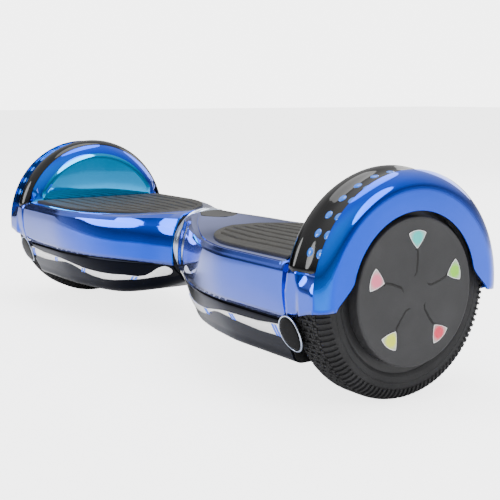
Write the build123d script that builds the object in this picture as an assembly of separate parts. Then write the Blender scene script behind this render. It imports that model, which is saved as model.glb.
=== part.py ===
from build123d import *
import os
from math import acos, asin, cos, radians, sin, sqrt

os.makedirs("parts", exist_ok=True)

# Self balancing hoverboard: two foot-deck halves that twist on a centre tube, with a hub-motor wheel at
# each end. Millimetres. X runs along the axles, -Y is the front, +Z is up, and the origin lies on the
# ground under the middle. Each half is modelled on the +X side and mirrored for the left.

# Overall
overall_length = 584.0
half_length = overall_length / 2

# Wheel
tyre_radius = 85.0
tyre_width = 38.0
tyre_shoulder = 10.0
tyre_depth = 22.0
rim_wall = 6.0
hub_cover_proud = 8.5
hub_cover_wall = 3.0
window_inset = 15.5
window_size = 8.5
window_count = 5
axle_height = tyre_radius

# Shell
wall = 2.6
deck_height = axle_height + 25.0
seam_height = axle_height - 18.0
floor_height = axle_height - 55.0
deck_half_width = 85.0
crease_half_width = 89.0
crease_drop = 5.0
seam_half_width = 86.0
floor_half_width = 70.0
joint_face = 5.0
deck_end = 240.0

# Fender
fender_clearance = 5.0
fender_round = 16.0
fender_foot_height = axle_height - 7.0
flare_start_angle = 12.0
flare_tip_inset = 15.6
flare_tip_z = axle_height - 3.0
trim_inset = 2.5
trim_thickness = 1.3
trim_rise = 7.0
trim_band = 16.5
trim_backing = 1.6
trim_end_height = axle_height + 23.0
dot_radius = 3.6
dot_rows = 14
dot_first_angle = 23.0
dot_columns = (22.0, 32.5)

# Centre joint
tube_radius = 15.0
tube_wall = 3.0
tube_reach = 60.0
bush_wall = 2.0
bush_length = 14.0
bush_flange = 1.5
boss_wall = 5.0
joint_gap = 1.2
joint_ring_radius = 36.0
boss_end = 54.0

# Frame
frame_floor = floor_height + 14.0
frame_plate = 4.0
frame_half_width = 40.0
frame_end = 228.0
rib_thickness = 5.0
rib_height = 46.0

# Axle and motor
axle_radius = 6.0
stator_seat_radius = 9.0
bearing_radius = 14.0
bearing_width = 7.0
air_gap = 0.7
stator_core_radius = 30.0
magnet_thickness = 4.4
magnet_count = 20
tooth_count = 18
coil_overhang = 2.0

# Foot sensors, under the mat
sensor_x = (110.0, 222.0)
sensor_board_thickness = 1.6
plunger_radius = 6.0
plunger_x = (135.0, 197.0)

# Foot mat
mat_tip = 60.0
mat_half_width = 78.0
mat_full_width_start = 165.0
mat_height = deck_height + 3.0
mat_thickness = 4.2
mat_travel = 1.0
mat_groove_width = 2.2
mat_groove_depth = 1.4
mat_groove_count = 9
mat_groove_pitch = 14.5

# Headlight and corner guards
light_x = (62.0, 222.0)
light_tip_drop = 8.0
light_sag = 12.0
light_band = 7.5
light_end_band = 5.0
guard_x = deck_end + 10.5
guard_height = axle_height - 27.5
guard_half_width = 12.0
guard_half_height = 14.0
guard_clearance = 2.5
guard_thickness = 3.0

# Battery
pack_x = (98.0, 192.0)
pack_depth = 38.0
strap_thickness = 0.8

# Fasteners
screw_radius = 2.0
screw_head_radius = 3.8
screw_head_height = 2.2
screw_boss_radius = 6.0
clamp_bolt_radius = 3.0
screw_x = (95.0, 152.0, 212.0)
screw_y = 30.0
clamp_y = 14.0

# Controls, on the rear face of the right half
button_radius = 6.0
button_x = 170.0
control_height = axle_height + 3.0
socket_x = 205.0
socket_bore_radius = 7.5
socket_bore_depth = 14.0
socket_wall = 2.5
socket_flange_radius = 12.0
cap_thickness = 2.0
hinge_barrel_radius = 1.6
hinge_pin_radius = 0.8

# Fits
running_clearance = 0.05
slip_clearance = 0.1
moving_clearance = 0.4

# Sizes that follow
rim_radius = tyre_radius - tyre_depth
tyre_outer = half_length - hub_cover_proud
tyre_inner = tyre_outer - tyre_width
rim_outer = tyre_outer - 2.5
rim_inner = tyre_inner + 1.5
can_radius = rim_radius - rim_wall
magnet_radius = can_radius - magnet_thickness
stator_radius = magnet_radius - air_gap
stator_width = rim_outer - rim_inner - 2 * bearing_width - 4.0
stator_middle = (rim_outer + rim_inner) / 2 + 2.0
stator_x = (stator_middle - stator_width / 2, stator_middle + stator_width / 2)
tooth_y = (-2.6, 2.6)
hub_cover_radius = can_radius - 0.5
window_orbit = hub_cover_radius - window_inset
fender_panel_radius = rim_radius + 10.0
fender_opening_radius = rim_radius - 2.0
crown_radius = tyre_radius + fender_clearance + wall
flare_tip_y = crown_radius - flare_tip_inset
trim_radius = crown_radius - trim_inset
trim_start = deck_end + 6.5
trim_step = trim_start + trim_band
trim_end = half_length - fender_round / 2
lip_angle = acos((trim_end - half_length + fender_round) / fender_round)
trim_seat = trim_radius - trim_thickness
axle_line = Axis((0, 0, axle_height), (1, 0, 0))
bush_outer_radius = tube_radius + running_clearance + bush_wall
boss_radius = bush_outer_radius + boss_wall
mat_floor = mat_height - mat_thickness - mat_travel - moving_clearance
sensor_top = frame_floor + frame_plate + rib_height + sensor_board_thickness
clamp_top = axle_height + 11.0
pack_half_width = frame_half_width - rib_thickness - 1.0
pack_floor = frame_floor + frame_plate
pack_top = pack_floor + pack_depth
rear_wall = crease_half_width - 2.0
socket_face = rear_wall + 2.6
hinge_height = control_height + socket_flange_radius + hinge_barrel_radius + 0.2
hinge_y = socket_face + 0.3 + cap_thickness / 2
screw_places = [(x, y) for x in screw_x for y in (-screw_y, screw_y)]
clamp_places = [(x, y) for x in (frame_end - 23, frame_end - 7) for y in (-clamp_y, clamp_y)]
dot_spacing = (180 - 2 * dot_first_angle) / (dot_rows - 1)
dot_angles = [dot_first_angle + row * dot_spacing for row in range(dot_rows)]
dot_places = [(trim_start + column, angle) for column in dot_columns for angle in dot_angles]


def ring(points):
    """A solid of revolution about the axle line, from (x, radius) points."""
    corners = [(x, 0, axle_height + radius) for x, radius in points]
    return revolve(make_face(Polyline(corners, close=True)), axis=axle_line, revolution_arc=360)


def sleeve(x_start, x_end, outer, inner=0.0):
    """A plain tube or disc about the axle line."""
    return ring([(x_start, inner), (x_end, inner), (x_end, outer), (x_start, outer)])


def block(x, y, z):
    """A box between the two limits given for each axis."""
    size = [abs(limits[1] - limits[0]) for limits in (x, y, z)]
    centre = [(limits[0] + limits[1]) / 2 for limits in (x, y, z)]
    return Pos(*centre) * Box(*size)


def post(x, y, z_start, z_end, radius):
    """An upright cylinder."""
    return Pos(x, y, (z_start + z_end) / 2) * Cylinder(radius, z_end - z_start)


def spoke(x, radius_start, radius_end, angle, radius):
    """A cylinder that points away from the axle line, at an angle above the front."""
    middle = (radius_start + radius_end) / 2
    upright = Pos(x, 0, middle) * Cylinder(radius, radius_end - radius_start)
    return Pos(0, 0, axle_height) * (Rot(90 - angle, 0, 0) * upright)


def rear_peg(x, z, y_start, y_end, radius):
    """A cylinder along Y."""
    return Pos(x, (y_start + y_end) / 2, z) * (Rot(90, 0, 0) * Cylinder(radius, abs(y_end - y_start)))


def join(shapes):
    """The union of a list of shapes."""
    shapes = list(shapes)
    return shapes[0] + shapes[1:] if len(shapes) > 1 else shapes[0]


# Sections of the deck body along X:
# x, top, half width of the flat top, of the crease, crease height, half width at the seam and floor, floor
full_section = (
    deck_height, deck_half_width, crease_half_width, deck_height - crease_drop,
    seam_half_width, floor_half_width, floor_height,
)
waist_sections = [
    (joint_face, deck_height + 8, 14.0, 34.0, deck_height - 9, 36.0, 16.0, floor_height + 20),
    (43.0, deck_height + 4, 36.0, 49.0, deck_height - 7, 52.0, 38.0, floor_height + 8),
    (76.0, deck_height + 1, 55.0, 63.0, deck_height - 5.5, 67.0, 54.0, floor_height + 1.5),
    (105.0, deck_height, 69.0, 75.0, deck_height - crease_drop, 76.0, 60.0, floor_height),
    (132.0, deck_height, 79.0, 84.0, deck_height - crease_drop, 82.0, 66.0, floor_height),
    (165.0, *full_section),
]


def section_face(section, inset):
    """One closed section of the body, shrunk by the inset."""
    x, top, edge, crease, crease_height, seam, floor, bottom = section
    side = [
        (edge - inset * 0.6, top - inset),
        (crease - inset, crease_height - inset * 0.5),
        (seam - inset, seam_height),
        (floor - inset * 0.8, bottom + inset),
    ]
    corners = [(x, y, z) for y, z in side] + [(x, -y, z) for y, z in reversed(side)]
    face = Face(Wire.make_polygon([Vector(*corner) for corner in corners], close=True))
    rounds = [2.5, 5.0, 12.0, 8.0]
    for y, z in side:
        size = rounds[side.index((y, z))]
        ends = [v for v in face.vertices() if abs(abs(v.Y) - y) < 0.01 and abs(v.Z - z) < 0.01]
        face = face.fillet_2d(size, ends)
    return face


def body(inset, start=joint_face):
    """The outer body of one half, up to the wheel wall, shrunk by the inset."""
    sections = [(start, *waist_sections[0][1:])] + waist_sections[1:]
    waist = loft([section_face(section, inset) for section in sections])
    deck = extrude(section_face(sections[-1], inset), amount=deck_end - sections[-1][0], dir=(1, 0, 0))
    return waist + deck


def fender_ring():
    """The fender all the way round, before its lower part is cut away."""
    centre_x = half_length - fender_round
    centre_r = crown_radius - fender_round
    inside = trim_seat - trim_backing
    inner_round = fender_round - wall
    lift = asin((inside - centre_r) / inner_round)

    def at(x, radius):
        return (x, 0, axle_height + radius)

    def around(radius, angle):
        return at(centre_x + radius * cos(angle), centre_r + radius * sin(angle))

    outer_points = [
        at(deck_end, fender_panel_radius - 6),
        at(deck_end, fender_panel_radius),
        at(trim_start, trim_seat),
        at(trim_end, trim_seat),
        around(fender_round, lip_angle),
    ]
    flange_points = [
        around(fender_round, 0),
        at(half_length, fender_opening_radius),
        at(half_length - wall, fender_opening_radius),
        around(inner_round, 0),
    ]
    inner_points = [
        around(inner_round, lift),
        at(trim_start + 1, inside),
        at(deck_end + wall, fender_panel_radius - 1),
        at(deck_end + wall, fender_panel_radius - 6),
        at(deck_end, fender_panel_radius - 6),
    ]
    edges = [
        Polyline(outer_points),
        ThreePointArc(outer_points[-1], around(fender_round, lip_angle / 2), flange_points[0]),
        Polyline(flange_points),
        ThreePointArc(flange_points[-1], around(inner_round, lift / 2), inner_points[0]),
        Polyline(inner_points),
    ]
    return revolve(make_face(edges), axis=axle_line, revolution_arc=360)


def flare_cut():
    """The space between the flange's two pointed ends."""
    x = half_length - 2 * wall
    start_y = fender_opening_radius * cos(radians(flare_start_angle))
    start_z = axle_height + fender_opening_radius * sin(radians(flare_start_angle))
    middle = ((start_y + flare_tip_y) / 2 - 2.0, (start_z + flare_tip_z) / 2 - 1.5)
    edges = []
    for side in (1, -1):
        edges.append(ThreePointArc((x, side * start_y, start_z), (x, side * middle[0], middle[1]),
                                   (x, side * flare_tip_y, flare_tip_z)))
        edges.append(Line((x, side * flare_tip_y, flare_tip_z), (x, side * flare_tip_y, 0)))
    edges.append(Line((x, flare_tip_y, 0), (x, -flare_tip_y, 0)))
    edges.append(Line((x, start_y, start_z), (x, -start_y, start_z)))
    return extrude(make_face(edges), amount=4 * wall, dir=(1, 0, 0))


def mat_outline(grow=0.0):
    """The leaf-shaped outline of the foot mat, seen from above."""
    tip = mat_tip
    full = mat_full_width_start
    end = deck_end - 2.5
    side = mat_half_width
    bend = (tip + 0.38 * (full - tip), 0.66 * side)
    edges = [
        ThreePointArc((tip, 0), bend, (full, side)),
        Line((full, side), (end, side)),
        Line((end, side), (end, -side)),
        Line((end, -side), (full, -side)),
        ThreePointArc((full, -side), (bend[0], -bend[1]), (tip, 0)),
    ]
    face = make_face(edges)
    return offset(face, grow) if grow else face


def prism(face, z_start, z_end):
    """A flat outline made solid between two heights."""
    return Pos(0, 0, z_start) * extrude(face, amount=z_end - z_start, dir=(0, 0, 1))


def crescent(grow=0.0):
    """The headlight outline on the front, as a prism along Y."""
    y = -120.0
    left, right = light_x[0] - grow, light_x[1] + grow
    middle = (left + right) / 2
    tips = seam_height - light_tip_drop
    top, bottom = tips + grow, tips - light_end_band - grow
    top_middle = tips - light_sag + light_band / 2 + grow
    bottom_middle = tips - light_sag - light_band / 2 - grow
    edges = [
        ThreePointArc((left, y, top), (middle, y, top_middle), (right, y, top)),
        Line((right, y, top), (right, y, bottom)),
        ThreePointArc((right, y, bottom), (middle, y, bottom_middle), (left, y, bottom)),
        Line((left, y, bottom), (left, y, top)),
    ]
    return extrude(make_face(edges), amount=90.0, dir=(0, 1, 0))


def status_prism():
    """A prism along Z for the dark panel on top of the waist."""
    return Pos(30.0, 0, 90.0) * extrude(Ellipse(15.0, 15.0), amount=60)


outer = body(0.0)
inner = body(wall, joint_face + wall)
# The last slice of the inner body is left solid as the wall beside the wheel.
cavity = inner - block((deck_end - wall, deck_end + 5), (-120, 120), (0, 200))
hollow = outer - cavity
above_seam = block((0, half_length + 10), (-120, 120), (seam_height, 260))
below_seam = block((0, half_length + 10), (-120, 120), (-10, seam_height))


def upper_shell():
    fender = fender_ring() & block((deck_end - 5, half_length + 5), (-120, 120), (fender_foot_height, 260))
    fender -= flare_cut()
    wheel_wall = sleeve(deck_end, deck_end + wall, fender_panel_radius - 1) & above_seam
    shell = (hollow & above_seam) + (fender + wheel_wall)
    shell += prism(mat_outline(wall), mat_floor - wall, deck_height - 0.5) & outer
    shell -= prism(mat_outline(), mat_floor, deck_height + 20)
    shell -= sleeve(joint_face - 1, joint_face + 2 * wall, boss_radius + moving_clearance)
    shell -= block((deck_end - 5, deck_end + 5), (-bearing_radius, bearing_radius), (seam_height - 1, axle_height))
    shell -= sleeve(deck_end - 5, deck_end + 5, bearing_radius)
    shell -= status_prism() & (outer - body(1.2))
    for x in plunger_x:
        shell -= post(x, 0, mat_floor - 10, mat_floor + 1, plunger_radius + moving_clearance)
    return shell


def lower_shell():
    shell = hollow & below_seam
    shell -= sleeve(joint_face - 1, joint_face + 2 * wall, boss_radius + moving_clearance)
    for x, y in screw_places:
        shell += post(x, y, floor_height, frame_floor, screw_boss_radius)
        shell -= post(x, y, floor_height - 5, frame_floor + 1, screw_radius + slip_clearance)
        shell -= post(x, y, floor_height - 5, floor_height + screw_head_height + 0.8, screw_head_radius + 0.4)
    return shell - crescent()


def joint_ring():
    lip = joint_ring_radius
    return ring([
        (joint_gap / 2, boss_radius + moving_clearance), (joint_face, boss_radius + moving_clearance),
        (joint_face, lip - 2.0), (joint_face - 1.2, lip), (joint_gap / 2 + 1.2, lip), (joint_gap / 2, lip - 1.2),
    ])


def frame_casting(bore_radius):
    top = frame_floor + frame_plate
    casting = block((66, frame_end), (-frame_half_width, frame_half_width), (frame_floor, top))
    casting += block((40, 90), (-14, 14), (frame_floor, axle_height))
    for side in (1, -1):
        rib = (side * frame_half_width, side * (frame_half_width - rib_thickness))
        casting += block((sensor_x[0], frame_end), rib, (top, top + rib_height))
    casting += block((frame_end - 30, frame_end), (-frame_half_width, frame_half_width), (top, axle_height))
    casting += sleeve(joint_face + 3, boss_end, boss_radius)
    casting -= sleeve(0, boss_end + 10, bore_radius)
    casting -= sleeve(frame_end - 31, frame_end + 1, axle_radius)
    casting -= block((boss_end, boss_end + 12), (-boss_radius, boss_radius), (axle_height - boss_radius, 130))
    for x, y in screw_places:
        casting -= post(x, y, frame_floor - 1, top + 1, screw_radius)
    for x, y in clamp_places:
        casting -= post(x, y, axle_height - 16, axle_height + 1, clamp_bolt_radius)
    return casting


def axle_clamp():
    clamp = block((frame_end - 30, frame_end), (-22, 22), (axle_height + 0.3, clamp_top))
    clamp -= sleeve(frame_end - 31, frame_end + 1, axle_radius)
    for x, y in clamp_places:
        clamp -= post(x, y, axle_height - 1, clamp_top + 1, clamp_bolt_radius + slip_clearance)
    return clamp


def clamp_bolts():
    return join(
        post(x, y, axle_height - 15, clamp_top, clamp_bolt_radius)
        + post(x, y, clamp_top, clamp_top + 3.2, clamp_bolt_radius * 1.8)
        - Pos(x, y, clamp_top + 2.2) * extrude(RegularPolygon(2.6, 6), amount=2)
        for x, y in clamp_places
    )


def shell_screws():
    head_base = floor_height + 0.8
    return join(
        post(x, y, head_base + screw_head_height, frame_floor + frame_plate, screw_radius)
        + post(x, y, head_base, head_base + screw_head_height, screw_head_radius)
        for x, y in screw_places
    )


def foot_mat():
    base = mat_height - mat_thickness
    mat = prism(mat_outline(-moving_clearance), base, mat_height)
    for row in range(mat_groove_count):
        step = row - (mat_groove_count - 1) / 2
        groove = Box(190, mat_groove_width, 2 * mat_groove_depth)
        start = 92.0 + abs(step) ** 1.6 * 6.0
        groove = Pos(start + 95, step * mat_groove_pitch, mat_height) * groove
        mat -= groove & prism(mat_outline(-9.0), base, mat_height + 5)
    for x in plunger_x:
        mat += post(x, 0, sensor_top + 3.0 + mat_travel + moving_clearance, base, plunger_radius)
    return mat


def sensor_board():
    board = block(sensor_x, (-frame_half_width, frame_half_width),
                  (sensor_top - sensor_board_thickness, sensor_top))
    board -= block((frame_end - 32, frame_end), (-23, 23), (sensor_top - 5, sensor_top + 5))
    for x in (plunger_x[0], plunger_x[1] - 6):
        board += block((x - 5, x + 5), (-5, 5), (sensor_top, sensor_top + 2.5))
    return board


def fender_trim():
    trim = ring([
        (trim_start, trim_seat), (trim_start, trim_seat + trim_thickness / 2),
        (trim_start + trim_rise, crown_radius), (trim_step - 2.0, crown_radius), (trim_step, trim_radius),
        (trim_end, trim_radius), (trim_end, trim_seat),
    ])
    trim &= block((deck_end, half_length), (-120, 120), (trim_end_height, 260))
    for x, angle in dot_places:
        trim -= spoke(x, trim_seat - 1, trim_radius + 1, angle, dot_radius + slip_clearance)
    return trim


def fender_lights():
    skin = sleeve(trim_start, trim_end, trim_radius, trim_seat)
    return join(
        spoke(x, trim_seat - 1, trim_radius + 1, angle, dot_radius) & skin
        for x, angle in dot_places
    )


def headlight_lens():
    skin = (outer - body(wall)) & below_seam
    return crescent(-slip_clearance) & skin


def headlight_board():
    base = frame_floor + 2.0
    board = block((106, 214), (-62, -frame_half_width), (base, base + 1.6))
    for x in (112.0, 160.0, 208.0):
        board += block((x - 3, x + 3), (-62.5, -60), (base + 1.6, base + 5))
    return board


def corner_guards():
    inside = tyre_radius + guard_clearance
    outside = inside + guard_thickness
    far = guard_x + guard_half_width + 1
    pad = sleeve(deck_end, far, outside, inside)
    foot = sleeve(deck_end - 5, deck_end, outside, inside - 25) - outer
    lug = sleeve(deck_end, deck_end + guard_thickness, outside, fender_panel_radius)
    oval = Rot(90, 0, 0) * extrude(Ellipse(guard_half_width, guard_half_height), amount=120, both=True)
    return (pad + foot + lug) & (Pos(guard_x, 0, guard_height) * oval)


def status_lens():
    return status_prism() & (outer - body(1.2))


def axle():
    shaft = sleeve(frame_end - 29.5, rim_outer, axle_radius)
    shaft += sleeve(*stator_x, stator_seat_radius)
    return shaft - sleeve(frame_end - 32, stator_x[0] - 1, 2.5)


def stator():
    core = sleeve(*stator_x, stator_core_radius, stator_seat_radius)
    tip = sleeve(*stator_x, stator_radius, stator_radius - 3.0)
    slot_x = (stator_middle - stator_width, stator_middle + stator_width)
    for number in range(tooth_count):
        turn = 360 * number / tooth_count
        gap = block(slot_x, (-1.2, 1.2), (stator_radius - 8, stator_radius + 5))
        tip -= Pos(0, 0, axle_height) * (Rot(turn + 180 / tooth_count, 0, 0) * gap)
        tooth = block(stator_x, tooth_y, (stator_core_radius - 1, stator_radius - 1.5))
        core += Pos(0, 0, axle_height) * (Rot(turn, 0, 0) * tooth)
    return core + tip


def windings():
    coil_x = (stator_x[0] - coil_overhang, stator_x[1] + coil_overhang)
    coils = []
    for number in range(tooth_count):
        coil = block(coil_x, (-4.3, 4.3), (stator_core_radius + 3, stator_radius - 3.4))
        coil -= block(stator_x, tooth_y, (stator_core_radius, stator_radius))
        coils.append(Pos(0, 0, axle_height) * (Rot(360 * number / tooth_count, 0, 0) * coil))
    return Compound(children=coils)


def tyre():
    bend = tyre_shoulder / sqrt(2)
    level = axle_height
    shoulder_r = tyre_radius - tyre_shoulder
    edges = [
        Line((rim_inner, 0, level + rim_radius), (rim_outer, 0, level + rim_radius)),
        Line((rim_outer, 0, level + rim_radius), (tyre_outer, 0, level + rim_radius + 4)),
        Line((tyre_outer, 0, level + rim_radius + 4), (tyre_outer, 0, level + shoulder_r)),
        ThreePointArc(
            (tyre_outer, 0, level + shoulder_r),
            (tyre_outer - tyre_shoulder + bend, 0, level + shoulder_r + bend),
            (tyre_outer - tyre_shoulder, 0, level + tyre_radius),
        ),
        Line((tyre_outer - tyre_shoulder, 0, level + tyre_radius),
             (tyre_inner + tyre_shoulder, 0, level + tyre_radius)),
        ThreePointArc(
            (tyre_inner + tyre_shoulder, 0, level + tyre_radius),
            (tyre_inner + tyre_shoulder - bend, 0, level + shoulder_r + bend),
            (tyre_inner, 0, level + shoulder_r),
        ),
        Line((tyre_inner, 0, level + shoulder_r), (tyre_inner, 0, level + rim_radius + 4)),
        Line((tyre_inner, 0, level + rim_radius + 4), (rim_inner, 0, level + rim_radius)),
    ]
    return revolve(make_face(edges), axis=axle_line, revolution_arc=360)


def rotor_can():
    can = sleeve(rim_inner, rim_outer, rim_radius, can_radius)
    can += sleeve(rim_outer - 3, rim_outer, can_radius, bearing_radius)
    return can + sleeve(rim_outer - bearing_width, rim_outer, bearing_radius + 4, bearing_radius)


def magnets():
    ring_part = sleeve(stator_x[0] - 2, stator_x[1] + 2, can_radius, magnet_radius)
    for number in range(magnet_count):
        gap = block((rim_inner - 5, rim_outer + 5), (-1.0, 1.0), (magnet_radius - 5, can_radius + 5))
        ring_part -= Pos(0, 0, axle_height) * (Rot(360 * number / magnet_count, 0, 0) * gap)
    return ring_part


def motor_cover():
    cover = sleeve(rim_inner, rim_inner + 3, can_radius, bearing_radius)
    return cover + sleeve(rim_inner, rim_inner + bearing_width, bearing_radius + 4, bearing_radius)


def wheel_bearings():
    bore = axle_radius + running_clearance
    bearings = [
        sleeve(rim_inner, rim_inner + bearing_width, bearing_radius, bore),
        sleeve(rim_outer - bearing_width, rim_outer, bearing_radius, bore),
    ]
    return Compound(children=bearings)


def window_faces(grow):
    """Rounded triangles round the hub cover, each with its point towards the axle."""
    faces = []
    for number in range(window_count):
        triangle = RegularPolygon(window_size + grow, 3)
        triangle = Rot(0, 0, -90) * fillet(triangle.vertices(), 2.0)
        placed = Pos(0, window_orbit, 0) * triangle
        faces.append(Rot(0, 0, 360 * number / window_count) * placed)
    return faces


def window_prisms(grow, x_start, x_end):
    """The windows' outlines made solid along the axle."""
    across = Plane(origin=(x_start, 0, axle_height), x_dir=(0, 1, 0), z_dir=(1, 0, 0))
    return [across * extrude(face, amount=x_end - x_start) for face in window_faces(grow)]


def hub_cover():
    cover = ring([
        (rim_outer, can_radius - 4), (rim_outer, hub_cover_radius), (half_length - 1.0, hub_cover_radius),
        (half_length, hub_cover_radius - 1.0), (half_length, 0), (half_length - hub_cover_wall, 0),
        (half_length - hub_cover_wall, can_radius - 4),
    ])
    for window in window_prisms(slip_clearance, half_length - 2 * hub_cover_wall, half_length + 1):
        cover -= window
    return cover


def wheel_windows():
    return Compound(children=window_prisms(0.0, half_length - hub_cover_wall, half_length))


def centre_tube():
    reach = tube_reach
    tube = sleeve(-reach, reach, tube_radius, tube_radius - tube_wall)
    groove = boss_end + bush_flange + 0.3
    return tube - sleeve(groove, groove + 1.4, tube_radius + 1, tube_radius - 1)


def tube_circlip():
    groove = boss_end + bush_flange + 0.3
    clip = sleeve(groove, groove + 1.4, tube_radius + 3, tube_radius - 1)
    return clip - block((groove - 1, groove + 3), (-3, 3), (axle_height, axle_height + 30))


def centre_bushes():
    bore = tube_radius + running_clearance
    near, far = joint_face + 3, boss_end
    first = sleeve(near, near + bush_length, bush_outer_radius, bore)
    first += sleeve(near - bush_flange, near, bush_outer_radius + 3, bore)
    second = sleeve(far - bush_length, far, bush_outer_radius, bore)
    second += sleeve(far, far + bush_flange, bush_outer_radius + 3, bore)
    return Compound(children=[first, second])


def battery_pack():
    pack = block(pack_x, (-pack_half_width, pack_half_width), (pack_floor, pack_top))
    return fillet(pack.edges().filter_by(Axis.X), 6.0)


def battery_strap():
    middle = sum(pack_x) / 2
    half = pack_half_width + strap_thickness
    band = block((middle - 10, middle + 10), (-half, half), (pack_floor, pack_top + strap_thickness))
    band = fillet(band.edges().filter_by(Axis.X).sort_by(Axis.Z)[-2:], 6.5)
    hole = block((middle - 20, middle + 20), (-pack_half_width, pack_half_width), (pack_floor - 5, pack_top))
    hole = fillet(hole.edges().filter_by(Axis.X).sort_by(Axis.Z)[-2:], 6.0)
    return band - hole


def main_board():
    base = pack_floor + 6.0
    board = block((-190, -100), (-32, 32), (base, base + 1.6))
    for x in (-184, -106):
        for y in (-26, 26):
            board += post(x, y, pack_floor, base, 3.0)
    for number in range(6):
        x = -180 + number * 13
        board += block((x, x + 9), (18, 22), (base + 1.6, base + 16))
    for number in range(3):
        board += post(-170 + number * 18, -10, base + 1.6, base + 20, 6.0)
    return board


def power_button():
    button = rear_peg(button_x, control_height, rear_wall - 6.0, rear_wall + 1.6, button_radius)
    return button + rear_peg(button_x, control_height, rear_wall - 7.5, rear_wall - 5.5, button_radius + 1.5)


def hinge_barrel(x_start, x_end, radius):
    return Pos((x_start + x_end) / 2, hinge_y, hinge_height) * (Rot(0, 90, 0) * Cylinder(radius, x_end - x_start))


def charge_socket():
    housing = rear_peg(socket_x, control_height, socket_face - socket_bore_depth - socket_wall, socket_face,
                       socket_bore_radius + socket_wall)
    rim = rear_peg(socket_x, control_height, socket_face - 6.0, socket_face, socket_flange_radius) - outer
    socket = housing + rim
    socket -= rear_peg(socket_x, control_height, socket_face - socket_bore_depth, socket_face + 1,
                       socket_bore_radius)
    for x_start, x_end in ((-7.0, -4.2), (4.2, 7.0)):
        ear = hinge_barrel(socket_x + x_start, socket_x + x_end, hinge_barrel_radius)
        ear += block((socket_x + x_start, socket_x + x_end), (socket_face - 3.0, socket_face),
                     (hinge_height - 6.0, hinge_height + hinge_barrel_radius)) - outer
        ear += block((socket_x + x_start, socket_x + x_end), (socket_face - 1.0, hinge_y),
                     (hinge_height - hinge_barrel_radius, hinge_height + hinge_barrel_radius)) - outer
        socket += ear
    return socket + hinge_barrel(socket_x - 5, socket_x + 5, hinge_pin_radius)


def charge_cap():
    start = socket_face + 0.3
    cap = rear_peg(socket_x, control_height, start, start + cap_thickness, socket_flange_radius - 0.5)
    cap += block((socket_x - 3.8, socket_x + 3.8), (start, start + cap_thickness),
                 (control_height + 8, hinge_height))
    cap += hinge_barrel(socket_x - 3.8, socket_x + 3.8, hinge_barrel_radius)
    return cap - hinge_barrel(socket_x - 10, socket_x + 10, hinge_pin_radius + running_clearance)


upper = upper_shell()
lower = lower_shell()
control_holes = [
    rear_peg(button_x, control_height, rear_wall - 12, rear_wall + 12, button_radius + moving_clearance),
    rear_peg(socket_x, control_height, rear_wall - 12, rear_wall + 12, socket_bore_radius + socket_wall),
]
side_makers = {
    "joint_ring": joint_ring,
    "axle_clamp": axle_clamp,
    "clamp_bolts": clamp_bolts,
    "shell_screws": shell_screws,
    "foot_mat": foot_mat,
    "sensor_board": sensor_board,
    "fender_trim": fender_trim,
    "fender_lights": fender_lights,
    "headlight_lens": headlight_lens,
    "headlight_board": headlight_board,
    "corner_guards": corner_guards,
    "status_lens": status_lens,
    "axle": axle,
    "stator": stator,
    "windings": windings,
    "tyre": tyre,
    "rotor_can": rotor_can,
    "magnets": magnets,
    "hub_cover": hub_cover,
    "wheel_windows": wheel_windows,
    "motor_cover": motor_cover,
    "wheel_bearings": wheel_bearings,
}
single_makers = {
    "centre_tube": centre_tube,
    "tube_circlip": tube_circlip,
    "centre_bushes": centre_bushes,
    "battery_pack": battery_pack,
    "battery_strap": battery_strap,
    "main_board": main_board,
    "power_button": power_button,
    "charge_socket": charge_socket,
    "charge_cap": charge_cap,
}

nodes = {
    "right_upper_shell": upper - control_holes,
    "left_upper_shell": mirror(upper, Plane.YZ),
    "right_lower_shell": lower,
    "left_lower_shell": mirror(lower, Plane.YZ),
    "right_frame": frame_casting(bush_outer_radius),
    "left_frame": mirror(frame_casting(tube_radius), Plane.YZ),
}
for name, maker in side_makers.items():
    shape = maker()
    nodes["right_" + name] = shape
    nodes["left_" + name] = mirror(shape, Plane.YZ)
for name, maker in single_makers.items():
    nodes[name] = maker()

for name, shape in nodes.items():
    export_step(shape, "parts/" + name + ".step")
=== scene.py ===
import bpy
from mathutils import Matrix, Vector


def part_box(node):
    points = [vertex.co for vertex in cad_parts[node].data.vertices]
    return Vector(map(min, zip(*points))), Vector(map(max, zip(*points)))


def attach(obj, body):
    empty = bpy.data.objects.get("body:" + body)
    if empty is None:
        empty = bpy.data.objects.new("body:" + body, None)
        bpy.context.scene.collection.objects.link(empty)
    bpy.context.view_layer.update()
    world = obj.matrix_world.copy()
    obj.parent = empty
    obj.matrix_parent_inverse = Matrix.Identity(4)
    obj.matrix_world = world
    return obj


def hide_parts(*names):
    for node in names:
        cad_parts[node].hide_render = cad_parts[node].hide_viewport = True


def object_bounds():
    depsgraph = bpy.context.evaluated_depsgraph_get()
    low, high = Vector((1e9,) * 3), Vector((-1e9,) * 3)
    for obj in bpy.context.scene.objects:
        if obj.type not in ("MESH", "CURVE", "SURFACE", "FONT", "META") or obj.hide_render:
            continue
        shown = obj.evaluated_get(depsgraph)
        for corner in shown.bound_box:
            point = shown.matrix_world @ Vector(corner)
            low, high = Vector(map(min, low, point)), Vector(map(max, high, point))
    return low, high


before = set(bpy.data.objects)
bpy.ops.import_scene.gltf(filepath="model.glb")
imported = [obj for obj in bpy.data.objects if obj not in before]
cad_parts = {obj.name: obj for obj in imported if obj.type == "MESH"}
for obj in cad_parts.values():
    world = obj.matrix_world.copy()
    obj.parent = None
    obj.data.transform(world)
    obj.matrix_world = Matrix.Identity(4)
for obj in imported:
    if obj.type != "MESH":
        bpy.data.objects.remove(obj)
cadBounds = [list(corner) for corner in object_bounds()]

from math import atan2, cos, degrees, pi, radians, sin, sqrt, tan

import bmesh
import bpy
from mathutils import Matrix, Vector

# Everything is shaped in millimetres and scaled to metres when a piece is finished.
# Each half is made on the +X side; side is 1 for the right half and -1 for the left.


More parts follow.
